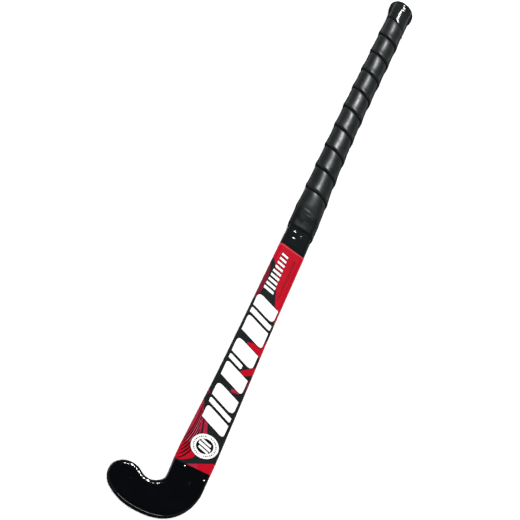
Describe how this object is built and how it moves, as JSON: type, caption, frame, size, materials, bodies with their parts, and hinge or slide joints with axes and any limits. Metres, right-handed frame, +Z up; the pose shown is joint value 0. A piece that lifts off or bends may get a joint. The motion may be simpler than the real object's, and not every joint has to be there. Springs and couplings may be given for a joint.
{
  "type": "field hockey stick",
  "caption": "Hooked field hockey stick with a flat hitting face, rounded back, printed shaft, spiral cushion grip and flared butt cap.",
  "frame": {"origin": "on the floor under the middle of the stick, which lies on its back", "axes": "+X along the shaft towards the butt end, +Y towards the toe of the hook, +Z up out of the flat hitting face"},
  "size_m": [0.9324, 0.1082, 0.0372],
  "materials": {
    "bent_wood": "sanded, glued",
    "cane": "planed",
    "spring_rubber": "matte",
    "waxed_twine": "waxed",
    "black_lacquer": "high gloss resin",
    "printed_film": "satin gloss print",
    "badge_film": "satin gloss",
    "cloth_tape": "matte",
    "cushion_grip": "soft satin polyurethane",
    "closing_tape": "satin",
    "collar_tape": "gloss",
    "cap_rubber": "satin"
  },
  "bodies": {
    "root": {"butt_cap": "cap_rubber", "cane_back": "cane", "cane_face": "cane", "cane_middle": "cane", "cushion_grip": "cushion_grip", "fibreglass_sleeve": "black_lacquer", "finishing_tape": "closing_tape", "graphic_film": "printed_film", "head_lamination_1": "bent_wood", "head_lamination_2": "bent_wood", "head_lamination_3": "bent_wood", "head_lamination_4": "bent_wood", "head_lamination_5": "bent_wood", "head_skin": "black_lacquer", "round_badge": "badge_film", "rubber_spring_back": "spring_rubber", "rubber_spring_face": "spring_rubber", "top_collar": "collar_tape", "twine_whipping_lower": "waxed_twine", "twine_whipping_middle": "waxed_twine", "twine_whipping_upper": "waxed_twine", "under_grip_tape": "cloth_tape"}
  },
  "joints": []
}
